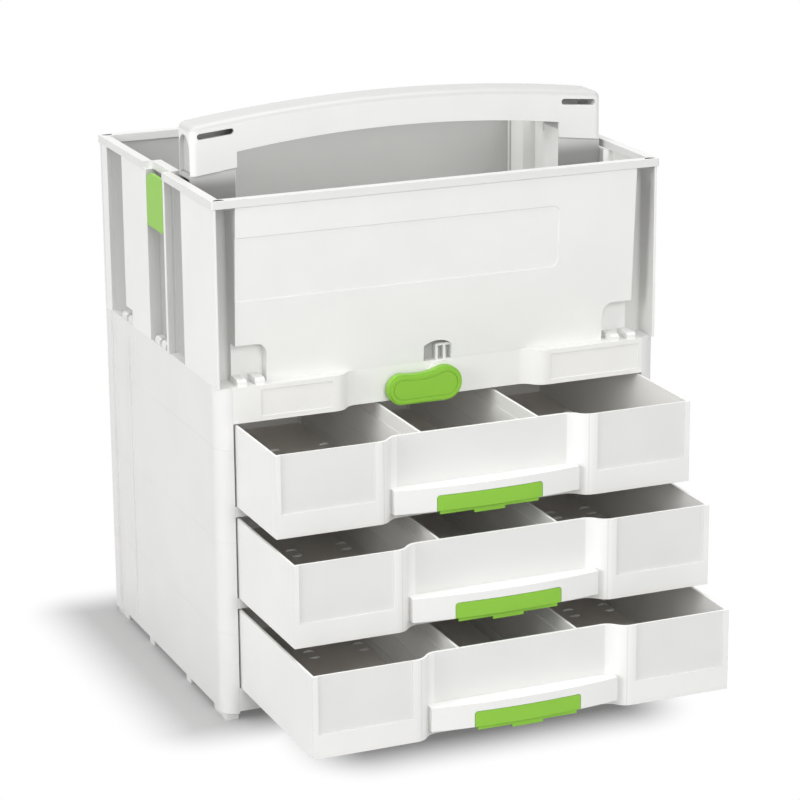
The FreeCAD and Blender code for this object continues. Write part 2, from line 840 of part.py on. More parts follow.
def catch_cutter(grow):
    """Arched pocket above the knob that its lobe turns over."""
    half = catch_half + grow
    top = cabinet_height + catch_height + grow
    y0 = -half_depth - 1
    z0 = cabinet_height - 1
    shoulder = top - catch_arch
    edges = [
        Part.makeLine(V(-half, y0, z0), V(half, y0, z0)),
        Part.makeLine(V(half, y0, z0), V(half, y0, shoulder)),
        Part.Arc(V(half, y0, shoulder), V(0, y0, top), V(-half, y0, shoulder)).toShape(),
        Part.makeLine(V(-half, y0, shoulder), V(-half, y0, z0)),
    ]
    return prism(edges, V(0, catch_depth + 1 + grow, 0))


def outside_cutters(grow):
    """Everything sunk into the outside of the tub; grown by the wall it gives the inside."""
    guide_y0 = rib_span()[0] - channel_width
    cutters = [front_draft_cutter(grow), catch_cutter(grow)]
    sided = [front_corner_cutter(grow), side_corner_cutter(grow), front_pocket_cutter(grow),
             side_pocket_cutter(grow), flat_channel(guide_y0, rib_span()[0], channel_depth, grow),
             flat_channel(lever_span()[0], lever_span()[1], lever_channel_depth, grow)]
    for cutter in sided:
        cutters += both_sides(cutter)
    return cutters


def rim_ring():
    """Flat rim round the mouth, drawn inwards over each lever."""
    ring = box(-half_width, half_width, -half_depth, half_depth, rim_low_z, rim_z)
    ring = round_edges(ring, rim_radius, "Z", lambda c: True)
    y0, y1 = lever_span()
    mouth = box(-half_width + rim_side, half_width - rim_side, -half_depth + rim_end, half_depth - rim_end,
                rim_low_z - 1, rim_z + 1)
    inner_x = half_width - lever_channel_depth - tote_wall
    backing = box(inner_x, half_width - rim_side + 1, y0 - tote_wall, y1 + tote_wall, rim_low_z, rim_z)
    thumb_x = half_width - rim_side
    thumb = box(thumb_x, half_width + 1, y0 - rim_thumb_play, y1 + rim_thumb_play, rim_low_z - 1, rim_z + 1)
    thumb = round_edges(thumb, rim_thumb_corner, "Z", lambda c: near(c.x, thumb_x))
    ring = ring.cut(mouth).multiFuse(both_sides(backing)).removeSplitter()
    return cut_all(ring, both_sides(thumb) + rim_holes())


def rim_holes():
    """Small half-moon opening in each corner of the rim."""
    holes = []
    x = half_width - rim_lip - rim_hole
    for y_side in (-1, 1):
        y = y_side * (half_depth - rim_lip)
        disc = rod(V(x, y, rim_low_z - 1), V(0, 0, 1), rim_hole, rim_height + 2)
        beyond = y + y_side * 2 * rim_hole
        outer = box(x - 2 * rim_hole, x + 2 * rim_hole, min(y, beyond), max(y, beyond), rim_low_z - 2,
                    rim_z + 2)
        holes += both_sides(disc.cut(outer))
    return holes


def label_field():
    """Shallow label field on the drafted front panel, open towards its left edge."""
    slope = math.atan(front_draft / (rim_low_z - cabinet_height))
    height = label_high - label_low
    left = -half_width + corner_fin
    field = box(left, label_right, -front_draft, label_recess, 0, height)
    field = round_edges(field, label_corner, "Y", lambda c: near(c.x, label_right))
    field.rotate(V(0, 0, 0), V(1, 0, 0), math.degrees(slope))
    face_y = -panel_y + (rim_low_z - label_low) * math.tan(slope)
    field.translate(V(0, face_y, label_low))
    return field


def tote_body():
    """Open tub: panels between upright channels, rim, pockets, catch and the handle's guides."""
    block = box(-panel_x, panel_x, -panel_y, panel_y, cabinet_height, rim_low_z)
    block = cut_all(block, outside_cutters(0) + [label_field()])
    wall = tote_wall
    cavity = box(-panel_x + wall, panel_x - wall, -panel_y + wall, panel_y - wall,
                 cabinet_height + tote_floor, rim_low_z)
    cavity = cut_all(cavity, outside_cutters(wall))
    tub = block.cut(cavity)
    parts = [rim_ring()] + catch_bars() + lever_ears() + handle_guides()
    return fuse(tub, parts)


def catch_bars():
    """Two upright bars and a cross bar inside the arched catch pocket."""
    y0 = mid_front_y + catch_bar
    y1 = front_y + catch_depth + 1
    top = cabinet_height + catch_height - catch_arch
    bars = [box(x, x + catch_bar, y0, y1, cabinet_height, top) for x in catch_bar_places]
    bars.append(box(catch_bar_places[0], catch_half + 1, y0 + 1, y1, top - catch_bar, top))
    return bars


def leg_wall_x():
    """Inner face of the end wall that a handle leg runs along."""
    return half_width - channel_depth - tote_wall


def handle_guides():
    """Two upright ribs on each end wall that a handle leg slides between."""
    x1 = leg_wall_x()
    half = leg_half_y() + gap_flat + gap_pin
    z1 = rim_z + post_bottom - handle_travel - guide_drop
    ribs = []
    for y0 in (grip_y - half - guide_rib, grip_y + half):
        ribs += both_sides(box(x1 - guide_reach, x1 + 1, y0, y0 + guide_rib, cabinet_height + 1, z1))
    return ribs


# ------------------------------------------------------------------ carrying handle
def leg_half_y():
    return grip_thickness / 2 - grip_skin - leg_inset


def arch_radius():
    """Radius of the arc over the head, through both ends and the crown."""
    return (grip_half ** 2 + grip_rise ** 2) / (2 * grip_rise)


def grip_outline(inset, end_inset, y):
    """Front view of the grip: one wide arc over the head, shoulder arcs that touch it, two posts."""
    half = grip_half - end_inset
    inner = grip_half - post_width + inset
    low_z = rim_z + post_bottom - inset
    under_z = rim_z + grip_end_top - grip_depth + inset
    radius = arch_radius() - inset
    centre_z = rim_z + grip_end_top + grip_rise - arch_radius()
    corner = grip_corner - inset
    corner_x = half - corner
    corner_z = centre_z + math.sqrt((radius - corner) ** 2 - corner_x ** 2)
    slope = math.asin(corner_x / (radius - corner))
    touch = (radius * math.sin(slope), centre_z + radius * math.cos(slope))
    turn = (math.pi / 2 + slope) / 2
    bend = (corner_x + corner * math.sin(turn), corner_z + corner * math.cos(turn))
    shoulders = []
    for side in (-1, 1):
        start = V(side * half, y, corner_z)
        middle = V(side * bend[0], y, bend[1])
        shoulders.append(Part.Arc(start, middle, V(side * touch[0], y, touch[1])).toShape())
        shoulders.append(Part.makeLine(V(side * half, y, low_z), start))
        shoulders.append(Part.makeLine(V(side * half, y, low_z), V(side * inner, y, low_z + post_slope)))
        shoulders.append(Part.makeLine(V(side * inner, y, low_z + post_slope), V(side * inner, y, under_z)))
    crown = V(0, y, centre_z + radius)
    head = Part.Arc(V(-touch[0], y, touch[1]), crown, V(touch[0], y, touch[1])).toShape()
    palm = Part.Arc(V(inner, y, under_z), V(0, y, under_z + palm_rise), V(-inner, y, under_z)).toShape()
    return shoulders + [head, palm]


def well_x():
    """Inner face of the grip's end wall."""
    return grip_half - end_recess - grip_skin


def finger_slot_cutter():
    """Round-ended slot through both skins, tilted down towards the end of the grip."""
    radius = finger_slot_height / 2
    depth = grip_thickness + 2
    middle = V(finger_slot_x, grip_y - depth / 2, rim_z + grip_end_top - finger_slot_drop)
    half = V(finger_slot / 2, 0, 0)
    ends = [rod(middle - half, V(0, 1, 0), radius, depth), rod(middle + half, V(0, 1, 0), radius, depth)]
    slot = box(middle.x - half.x, middle.x + half.x, middle.y, middle.y + depth, middle.z - radius,
               middle.z + radius)
    slot = slot.multiFuse(ends).removeSplitter()
    slot.rotate(middle, V(0, 1, 0), finger_slot_tilt)
    return slot


def handle_grip():
    """Inverted-U shell: arched head, front and back skins, a web under the palm, recessed ends."""
    y0 = grip_y - grip_thickness / 2
    y1 = grip_y + grip_thickness / 2
    low_z = rim_z + post_bottom
    under_z = rim_z + grip_end_top - grip_depth
    solid = prism(grip_outline(0, 0, y0), V(0, grip_thickness, 0))
    shoulder_z = rim_z + grip_end_top - grip_corner / 2
    top_edges = [e for e in solid.Edges if e.BoundBox.YLength < 0.01 and e.BoundBox.ZMax > shoulder_z]
    solid = solid.makeFillet(grip_round, top_edges)
    core = prism(grip_outline(grip_skin, grip_half - well_x(), y0 + grip_skin),
                 V(0, grip_thickness - 2 * grip_skin, 0))
    inner_x = grip_half - post_width
    well = box(inner_x - 1, well_x(), y0 + grip_skin, y1 - grip_skin, low_z - 1, under_z - 1)
    recess_top = rim_z + grip_end_top - grip_corner - end_lintel
    recess = box(grip_half - end_recess, grip_half + 1, y0 + end_frame, y1 - end_frame, low_z - 1,
                 recess_top)
    recess = round_edges(recess, end_recess_radius, "X", lambda c: near(c.z, recess_top))
    cutters = []
    for cutter in (well, finger_slot_cutter(), recess, grip_screw_hole()):
        cutters += both_sides(cutter)
    return cut_all(solid.cut(core), cutters)


def handle_leg():
    """Right leg: a channel-section post inside the grip's end that slides down in the guides."""
    low_z = rim_z + post_bottom
    top_z = rim_z + grip_end_top - grip_depth - 1
    x0 = grip_half - post_width + leg_inset
    x1 = leg_wall_x() - gap_flat
    half = leg_half_y()
    y0 = grip_y - half
    y1 = grip_y + half
    lower = box(x0, x1, y0, y1, rim_z - leg_depth, low_z)
    upper = box(x0, well_x() - gap_flat, y0, y1, low_z - 1, top_z)
    leg = lower.fuse(upper).removeSplitter()
    chamfer = [e for e in leg.Edges if is_along(e, "Y") and near(e.BoundBox.Center.x, x0)
               and near(e.BoundBox.Center.z, top_z)]
    leg = leg.makeChamfer(leg_chamfer, chamfer)
    hollow = box(x0 + leg_wall, x1 + 1, y0 + leg_wall, y1 - leg_wall, rim_z - leg_depth - 1,
                 low_z - leg_wall)
    start = leg_screw_point()
    bore = rod(V(start.x, start.y + 1, start.z), V(0, -1, 0), screw_radius + gap_pin, screw_bite + 1.5)
    return cut_all(leg, [hollow, bore])


def leg_screw_point():
    """Where the screw's axis meets the back face of the right leg."""
    return V(grip_half - post_width / 2, grip_y + leg_half_y(), rim_z + post_bottom + leg_screw_height)


def grip_screw_hole():
    start = leg_screw_point()
    return rod(V(start.x, start.y - 1, start.z), V(0, 1, 0), screw_radius + gap_pin, grip_skin + 3)


def handle_screws():
    """One screw from behind through the grip's back skin into each leg."""
    start = leg_screw_point()
    face_y = grip_y + grip_thickness / 2
    shank = rod(V(start.x, face_y, start.z), V(0, -1, 0), screw_radius, face_y - start.y + screw_bite)
    head = rod(V(start.x, face_y, start.z), V(0, 1, 0), screw_head_radius, screw_head_height)
    return Part.makeCompound(both_sides(head.fuse(shank).removeSplitter()))


# ------------------------------------------------------------------ handle lock levers
def lever_point():
    """Middle of the right lever's pin."""
    y0, y1 = lever_span()
    return V(half_width - lever_channel_depth + lever_boss_radius + lever_boss_room, (y0 + y1) / 2,
             rim_low_z - lever_height + lever_boss_radius + lever_gap)


def lever_half():
    return lever_channel / 2 - lever_gap


def lock_lever():
    """Right lever: a plate with one well rounded upper corner and two pin lugs behind it."""
    pin = lever_point()
    x1 = panel_x
    x0 = x1 - lever_thickness
    y0 = pin.y - lever_half()
    y1 = pin.y + lever_half()
    z0 = rim_low_z - lever_height
    z1 = rim_low_z - lever_drop
    plate = box(x0, x1, y0, y1, z0, z1)
    plate = round_edges(plate, lever_corner, "X", lambda c: near(c.y, y1) and near(c.z, z1))
    plate = round_edges(plate, lever_foot_corner, "X", lambda c: near(c.z, z0))
    lugs = []
    for y in (y0 + lever_lug_inset, y1 - lever_lug_inset - lever_lug):
        lugs.append(rod(V(pin.x, y, pin.z), V(0, 1, 0), lever_boss_radius, lever_lug))
        lugs.append(box(pin.x, x0 + 1, y, y + lever_lug, pin.z - lever_boss_radius,
                        pin.z + lever_boss_radius))
    lever = fuse(plate, lugs)
    bore = rod(V(pin.x, y0 - 1, pin.z), V(0, 1, 0), lever_pin_radius + gap_pin, y1 - y0 + 2)
    return lever.cut(bore)


def lever_ears():
    """Ears on the channel floor that carry a lever's pin between the lever's lugs."""
    pin = lever_point()
    ear = lever_ear
    radius = lever_ear_radius
    x0 = half_width - lever_channel_depth - 1
    start = lever_half() - lever_lug_inset - lever_lug - gap_flat - ear
    ears = []
    for y in (pin.y - start - ear, pin.y + start):
        block = box(x0, pin.x, y, y + ear, pin.z - radius, pin.z + radius)
        block = block.fuse(rod(V(pin.x, y, pin.z), V(0, 1, 0), radius, ear)).removeSplitter()
        bore = rod(V(pin.x, y - 1, pin.z), V(0, 1, 0), lever_pin_radius + gap_pin, ear + 2)
        ears += both_sides(block.cut(bore))
    return ears


def lever_pin():
    pin = lever_point()
    half = lever_half() - lever_lug_inset
    return rod(V(pin.x, pin.y - half, pin.z), V(0, 1, 0), lever_pin_radius, 2 * half)


# ------------------------------------------------------------------ output
def build():
    """Every piece by its node name."""
    nodes = {
        "cabinet_base": cabinet_base(),
        "cabinet_top": cabinet_top(),
        "cabinet_back": cabinet_back(),
        "bay_shelf_upper": bay_shelf(0),
        "bay_shelf_lower": bay_shelf(1),
        "base_screws": base_screws(),
        "latch_knob": latch_knob(),
        "latch_pivot": latch_pivot(),
        "tote_body": tote_body(),
        "handle_grip": handle_grip(),
        "handle_screws": handle_screws(),
    }
    sided = {
        "cabinet_side": cabinet_side(),
        "handle_leg": handle_leg(),
        "lock_lever": lock_lever(),
        "lever_pin": lever_pin(),
    }
    for name, shape in sided.items():
        nodes[name + "_right"] = shape
        nodes[name + "_left"] = mirrored(shape)
    for bay in range(bay_count):
        name = "drawer_%d_" % (bay + 1)
        nodes[name + "tray"] = drawer_tray(bay)
        nodes[name + "divider_left"] = drawer_divider(bay, -1)
        nodes[name + "divider_right"] = drawer_divider(bay, 1)
        nodes[name + "trigger"] = drawer_trigger(bay)
        nodes[name + "trigger_pin"] = trigger_pin(bay)
    return nodes


os.makedirs("parts", exist_ok=True)
for node_name, node_shape in build().items():
    node_shape.exportStep("parts/%s.step" % node_name)
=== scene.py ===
import json
import math

import bmesh
import bpy
import numpy as np
from bpy.props import FloatProperty, FloatVectorProperty, IntProperty, PointerProperty
from mathutils import Matrix, Vector


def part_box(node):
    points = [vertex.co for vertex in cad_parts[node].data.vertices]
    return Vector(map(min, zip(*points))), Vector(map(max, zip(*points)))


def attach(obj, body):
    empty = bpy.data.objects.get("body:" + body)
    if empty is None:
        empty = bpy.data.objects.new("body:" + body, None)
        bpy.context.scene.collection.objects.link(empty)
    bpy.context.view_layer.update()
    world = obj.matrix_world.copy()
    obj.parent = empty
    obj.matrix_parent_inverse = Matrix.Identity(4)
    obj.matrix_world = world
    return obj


bl_info = {
    "name": "Drawer Box Finishes",
    "version": (1, 0, 0),
    "blender": (4, 5, 0),
    "location": "View3D > Sidebar > Drawer Box",
    "description": "Moulded plastics, floor studs and a studio for a drawer box with an open tote",
    "category": "Object",
}

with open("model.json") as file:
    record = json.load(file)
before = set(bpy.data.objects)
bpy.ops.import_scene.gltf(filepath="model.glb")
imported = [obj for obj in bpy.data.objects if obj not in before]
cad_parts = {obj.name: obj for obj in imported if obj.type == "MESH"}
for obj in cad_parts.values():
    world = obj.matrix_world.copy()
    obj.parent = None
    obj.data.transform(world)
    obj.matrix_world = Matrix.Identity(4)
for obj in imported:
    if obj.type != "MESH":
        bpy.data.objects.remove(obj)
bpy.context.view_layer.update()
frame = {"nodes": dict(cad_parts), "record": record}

MM = 0.001
BLACK = (0.0, 0.0, 0.0, 1.0)
WHITE = (1.0, 1.0, 1.0, 1.0)
DRAWERS = ("drawer_1", "drawer_2", "drawer_3")

# widest soft border of a mask, and the narrow ones in tenths and twentieths of a millimetre
BORDER = 0.15 * MM
TENTH = 0.1 * MM
TWENTIETH = 0.05 * MM

# places and sizes of moulded features that the frame gives no box for
CHANNEL_FLOOR = 183.2 * MM  # from the middle out to the floor of the side channels
SIDE_INSET = 1.8 * MM  # of the side panels behind the rim
LEVER_GAP = 0.5 * MM
HANDLE_CHANNEL = 41.0 * MM
BACK_CHANNEL = (87.0 * MM, 128.0 * MM)
FRONT_CHANNEL = (177.9 * MM, 194.4 * MM)
FRONT_CHANNEL_DEPTH = 28.6 * MM
# CHANNEL_FADE: depth below the rim's top over which the painted shade in the channels grows lighter
CHANNEL_FADE = 150.0 * MM
WALL = 4.0 * MM
INSIDE_BACK = 6.0 * MM
RIM_HEIGHT = 6.5 * MM
RIM_HOLE_IN = (7.3 * MM, 2.5 * MM)  # from the tote's side and from its end
RIM_HOLE_RADIUS = 4.8 * MM
CATCH_HALF = 12.6 * MM
CATCH_HEIGHT = 17.0 * MM
CATCH_DEPTH = 19.0 * MM
GRIP_RECESS = 4.0 * MM
GRIP_FRAME = 4.3 * MM
GRIP_LINTEL = 21.8 * MM
GRIP_RISE = 13.0 * MM
GRIP_ROUND = 5.5 * MM
# the painted shade on the legs' fronts fades from grey to white over LEG_FADE
LEG_FADE = (-10.0 * MM, 6.0 * MM)  # from the rim, where the legs turn from grey to white
DRAWER_LENGTH = 284.0 * MM
DRAWER_FLOOR = 2.2 * MM
LABEL_DEPTH = 1.2 * MM
LABEL_INNER = 90.0 * MM
FRONT_BOW = 11.0 * MM
DIVIDER_START = 14.0 * MM  # behind the drawer's front
STUD_ROWS = (0.05, 0.40, 0.68, 0.94)  # shares of the outer lane, from the divider outwards

# the studio
FLOOR_RADIUS = 14.0
FLOOR_RINGS = 24
FLOOR_SPOKES = 96
# Painted shadow: the grey floor round the tote is drawn further out on the left by SHADOW_SHIFT; the distances
# below set where the grey gives way to white
SHADOW_SHIFT = 25.0 * MM  # of the tote's soft shadow to the left
TOTE_SHADOW = (-10.0 * MM, 62.0 * MM)  # distances over which the shadow gives way to white
DRAWER_SHADOW = (-10.0 * MM, 70.0 * MM)
DRAWER_SHADOW_INSET = 70.0 * MM
MIDDLE = (0.0, 0.0, 0.25)
LAMPS = (  # name, setting of its power, place and width in metres
    ("front_box", "front", (-0.2, -2.9, 1.5), 1.6),
    ("side_box", "side", (-2.8, -0.9, 1.2), 1.2),
    ("top_box", "top", (0.4, -0.3, 4.4), 2.2),
    ("key_light", "key", (-1.5, 0.3, 1.9), 0.6),
)


# ------------------------------------------------------------------ settings
class PlasticSettings(bpy.types.PropertyGroup):
    """Colours and surface of the moulded parts."""

    white: FloatVectorProperty(
        name="White", description="Colour of the housing, drawers, tote and handle",
        default=(0.80, 0.80, 0.785), size=3, subtype="COLOR", min=0, max=1)
    green: FloatVectorProperty(
        name="Green", description="Colour of the knob, levers and triggers",
        default=(0.25, 0.53, 0.05), size=3, subtype="COLOR", min=0, max=1)
    steel: FloatVectorProperty(
        name="Steel", description="Colour of pins and screws",
        default=(0.60, 0.60, 0.61), size=3, subtype="COLOR", min=0, max=1)
    gloss: FloatProperty(
        name="Roughness", description="Roughness of the white plastic",
        default=0.42, subtype="FACTOR", min=0, max=1)
    grain: FloatProperty(
        name="Grain Size", description="Width of one grain of the mould's fine texture",
        default=0.7 * MM, subtype="DISTANCE", unit="LENGTH")
    grain_depth: FloatProperty(
        name="Grain Depth", description="Height of the mould's fine texture",
        default=0.012 * MM, subtype="DISTANCE", unit="LENGTH")
    edge: FloatProperty(
        name="Edge Radius", description="Softness of the moulded edges",
        default=0.35 * MM, subtype="DISTANCE", unit="LENGTH")
    seam_rise: FloatProperty(
        name="Seam Height", description="Height of the housing's joint line above each drawer's runner",
        default=48.0 * MM, subtype="DISTANCE", unit="LENGTH")
    # Painted shade: the side channels and the catch pocket are painted greyer than the white
    recess_shade: FloatProperty(
        name="Recess Shade", description="Share of the white that the side channels and the catch pocket keep",
        default=0.54, subtype="FACTOR", min=0, max=1)
    # Painted shade: the channels at the front corners are painted greyer than the white
    front_shade: FloatProperty(
        name="Corner Shade", description="Share of the white that the channels at the front corners keep",
        default=0.78, subtype="FACTOR", min=0, max=1)
    # Painted shade: the walls of the rim's corner openings are painted dark
    hole_shade: FloatProperty(
        name="Hole Shade", description="Share of the white that the rim's corner openings keep",
        default=0.12, subtype="FACTOR", min=0, max=1)
    # Painted shade on the fronts of the handle's legs
    leg_shade: FloatProperty(
        name="Leg Shade", description="Share of the white that the legs' fronts keep low down",
        default=0.34, subtype="FACTOR", min=0, max=1)
    # Painted shade in the recesses in the grip's ends
    grip_shade: FloatProperty(
        name="Grip Shade", description="Share of the white that the recesses in the grip's ends keep",
        default=0.70, subtype="FACTOR", min=0, max=1)
    # Painted shade on the grip's rounded top
    palm_shade: FloatProperty(
        name="Palm Shade", description="Share of the white that the grip's rounded top keeps",
        default=0.72, subtype="FACTOR", min=0, max=1)
    # Painted shade: the rim is painted a little greyer than the white
    rim_shade: FloatProperty(
        name="Rim Shade", description="Share of the white that the tote's rim keeps",
        default=0.90, subtype="FACTOR", min=0, max=1)
    # Painted shade on the tote's inner back wall
    inside_shade: FloatProperty(
        name="Inside Shade", description="Share of the white that the tote's inner back wall keeps",
        default=0.68, subtype="FACTOR", min=0, max=1)
    # Painted shade: the whole housing is a darker copy of the white
    housing_shade: FloatProperty(
        name="Housing Shade", description="Share of the white that the cabinet's housing keeps",
        default=0.93, subtype="FACTOR", min=0, max=1)
    # Painted shade on the drawers' label fields and set-back fronts
    label_shade: FloatProperty(
        name="Label Shade", description="Share of the white that label fields and set-back fronts keep",
        default=0.90, subtype="FACTOR", min=0, max=1)
    # Painted shade: the drawers' floors are painted warmer and a little darker than the white
    painted_floor_shade: FloatVectorProperty(
        name="Drawer Floor", description="Colour of the drawers' matt floors",
        default=(0.80, 0.755, 0.70), size=3, subtype="COLOR", min=0, max=1)
    seam_width: FloatProperty(
        name="Seam Width", description="Width of the joint line between the housing's tiers",
        default=0.9 * MM, subtype="DISTANCE", unit="LENGTH")
    seam_depth: FloatProperty(
        name="Seam Depth", description="Depth of the joint line between the housing's tiers",
        default=0.25 * MM, subtype="DISTANCE", unit="LENGTH")
    mottle: FloatProperty(
        name="Mottle Size", description="Width of the faint cloudy patches in the plastic",
        default=60.0 * MM, subtype="DISTANCE", unit="LENGTH")
    bloom: FloatProperty(
        name="Bloom Size", description="Width of the crystals in the steel's zinc coat",
        default=1.5 * MM, subtype="DISTANCE", unit="LENGTH")
    shine: FloatProperty(
        name="Shine", description="Mirror share of the white plastic",
        default=0.42, subtype="FACTOR", min=0, max=1)
    green_shine: FloatProperty(
        name="Green Shine", description="Mirror share of the green plastic",
        default=0.3, subtype="FACTOR", min=0, max=1)


class StudSettings(bpy.types.PropertyGroup):
    """Crescent studs on the drawer floors that locate loose trays."""

    setback: FloatProperty(
        name="Setback", description="Middle of a pair of studs behind the drawer's front",
        default=205.0 * MM, subtype="DISTANCE", unit="LENGTH")
    radius: FloatProperty(
        name="Pair Radius", description="Radius of the circle that a pair's two crescents lie on",
        default=8.3 * MM, subtype="DISTANCE", unit="LENGTH")
    width: FloatProperty(
        name="Width", description="Greatest width of a crescent",
        default=3.2 * MM, subtype="DISTANCE", unit="LENGTH")
    rise: FloatProperty(
        name="Rise", description="Greatest height of a crescent above the floor",
        default=1.5 * MM, subtype="DISTANCE", unit="LENGTH")
    spread: FloatProperty(
        name="Spread", description="Angle that one crescent covers",
        default=math.radians(80), subtype="ANGLE", unit="ROTATION")
    steps: IntProperty(
        name="Steps", description="Divisions along a crescent", default=14, min=4, max=64)


class LightSettings(bpy.types.PropertyGroup):
    """Soft boxes and surroundings."""

    ambient: FloatProperty(
        name="Surroundings", description="Strength of the even light from all sides",
        default=0.55, min=0, max=2)
    front: FloatProperty(
        name="Front Box", description="Power of the wide soft box in front",
        default=40.0, subtype="POWER", unit="POWER", min=0)
    side: FloatProperty(
        name="Side Box", description="Power of the soft box at the front on the left",
        default=37.0, subtype="POWER", unit="POWER", min=0)
    top: FloatProperty(
        name="Top Box", description="Power of the wide soft box overhead",
        default=78.0, subtype="POWER", unit="POWER", min=0)
    key: FloatProperty(
        name="Key Light", description="Power of the smaller lamp above on the left",
        default=4.0, subtype="POWER", unit="POWER", min=0)
    floor: FloatProperty(
        name="Floor White", description="Share of plain white mixed into the floor as the camera sees it",
        default=0.08, subtype="FACTOR", min=0, max=1)
    # The grey shows only near the box: it carries the real shadow and also makes a painted shadow there
    grey: FloatProperty(
        name="Floor Grey", description="Grey of the matt floor that carries the shadow",
        default=0.46, subtype="FACTOR", min=0, max=1)


class ViewSettings(bpy.types.PropertyGroup):
    """Where the camera stands and how it looks."""

    place: FloatVectorProperty(
        name="Place", description="Where the camera stands",
        default=(-957.8 * MM, -2327.1 * MM, 958.9 * MM), size=3, subtype="TRANSLATION", unit="LENGTH")
    heading: FloatProperty(
        name="Heading", description="Turn of the view to the right of straight ahead",
        default=math.radians(22.87), subtype="ANGLE", unit="ROTATION")
    dip: FloatProperty(
        name="Dip", description="Tilt of the view below level",
        default=math.radians(16.49), subtype="ANGLE", unit="ROTATION")
    roll: FloatProperty(
        name="Roll", description="Turn of the picture about the line of sight",
        default=math.radians(-0.44), subtype="ANGLE", unit="ROTATION")
    lens: FloatProperty(
        name="Lens", description="Focal length in millimetres for a sensor 36 mm wide",
        default=135.08, min=10, max=400)


# ------------------------------------------------------------------ shader arithmetic
class Nodes:
    """A node tree with one way to add a node of any kind."""

    def __init__(self, tree):
        self.tree = tree
        tree.nodes.clear()

    def add(self, kind, settings, inputs):
        """Adds a node, sets its settings first and then the values or links of its sockets."""
        node = self.tree.nodes.new(kind)
        for name, value in settings.items():
            setattr(node, name, value)
        for key, value in inputs.items():
            if isinstance(value, Field):
                self.tree.links.new(value.socket, node.inputs[key])
            else:
                node.inputs[key].default_value = value
        return node

    def field(self, kind, settings, inputs, output=0):
        return Field(self, self.add(kind, settings, inputs).outputs[output])

    def place(self):
        """The point on the piece in its own space, as three numbers."""
        point = self.field("ShaderNodeTexCoord", {}, {}, "Object")
        split = self.add("ShaderNodeSeparateXYZ", {}, {0: point})
        return point, [Field(self, socket) for socket in split.outputs]

    def noise(self, point, size, detail):
        inputs = {"Vector": point, "Scale": 1 / size, "Detail": detail}
        return self.field("ShaderNodeTexNoise", {}, inputs, "Fac")

    def blend(self, share, first, second):
        """Colour that goes from the first to the second with the share."""
        return self.field("ShaderNodeMix", {"data_type": "RGBA"}, {0: share, 6: first, 7: second}, 2)


class Field:
    """A socket of numbers that takes part in Python arithmetic."""

    def __init__(self, nodes, socket):
        self.nodes = nodes
        self.socket = socket

    def math(self, operation, first, second=0.0):
        return self.nodes.field("ShaderNodeMath", {"operation": operation}, {0: first, 1: second})

    def __add__(self, other):
        return self.math("ADD", self, other)

    def __sub__(self, other):
        return self.math("SUBTRACT", self, other)

    def __rsub__(self, other):
        return self.math("SUBTRACT", other, self)

    def __mul__(self, other):
        return self.math("MULTIPLY", self, other)

    def __truediv__(self, other):
        return self.math("DIVIDE", self, other)

    def __pow__(self, other):
        return self.math("POWER", self, other)

    def __abs__(self):
        return self.math("ABSOLUTE", self)

    def smaller(self, other):
        return self.math("MINIMUM", self, other)

    def larger(self, other):
        return self.math("MAXIMUM", self, other)

    def within(self, low, high, soft):
        """1 between low and high, 0 outside, and smooth over a soft border."""
        return self.step(low - soft, low + soft) - self.step(high - soft, high + soft)

    def step(self, low, high):
        """0 below low, 1 above high, and smooth between."""
        settings = {"interpolation_type": "SMOOTHSTEP"}
        inputs = {0: self, 1: low, 2: high, 3: 0.0, 4: 1.0}
        return self.nodes.field("ShaderNodeMapRange", settings, inputs)

    __radd__ = __add__
    __rmul__ = __mul__


def rgba(colour, share=1.0):
    return tuple(c * share for c in colour) + (1.0,)


# ------------------------------------------------------------------ finishes
def new_material(name):
    material = bpy.data.materials.new(name)
    material.use_nodes = True
    return material, Nodes(material.node_tree)


def seam_mask(height, settings):
    """1 on the joint lines of the housing's tiers, one line above each drawer's runner."""
    mask = 0.0
    for drawer in DRAWERS:
        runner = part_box(drawer + "_tray")[0].z
        mask = (1 - abs(height - (runner + settings.seam_rise)).step(0.0, settings.seam_width / 2)) + mask
    return mask


def channel_masks(x, y, z):
    """1 in the tote's upright channels, where shade is painted: those in its sides, and those beside its front
    corners.
    """
    low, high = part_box("tote_body")
    lever_low, lever_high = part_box("lock_lever_right")
    leg_low, leg_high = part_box("handle_leg_right")
    handle_y = (leg_low.y + leg_high.y) / 2
    out = abs(x)
    side = out.within(CHANNEL_FLOOR, high.x - SIDE_INSET, BORDER)
    lever = y.within(lever_low.y - LEVER_GAP, lever_high.y + LEVER_GAP, BORDER)
    handle = y.within(handle_y - HANDLE_CHANNEL / 2, handle_y + HANDLE_CHANNEL / 2, BORDER)
    back = y.within(*BACK_CHANNEL, BORDER)
    front = out.within(*FRONT_CHANNEL, BORDER)
    front = front * y.within(low.y, low.y + FRONT_CHANNEL_DEPTH, BORDER)
    rim_low = high.z - RIM_HEIGHT
    below_rim = 1 - z.step(rim_low - BORDER, rim_low + BORDER)
    return side * (lever + handle + back) * below_rim, front * below_rim


def rim_hole_mask(x, y, z):
    """1 on the walls of the half-moon openings in the corners of the tote's rim, which are painted dark as
    shade.
    """
    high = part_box("tote_body")[1]
    in_x, in_y = RIM_HOLE_IN
    across = abs(x) - (high.x - in_x)
    along = abs(y) - (high.y - in_y)
    far = (across * across + along * along) ** 0.5
    disc = 1 - far.step(RIM_HOLE_RADIUS + TENTH, RIM_HOLE_RADIUS + 3 * TENTH)
    inner = 1 - along.step(TENTH, 2 * TENTH)
    return disc * inner * z.within(high.z - RIM_HEIGHT + 2 * TENTH, high.z - 2 * TENTH, TENTH)


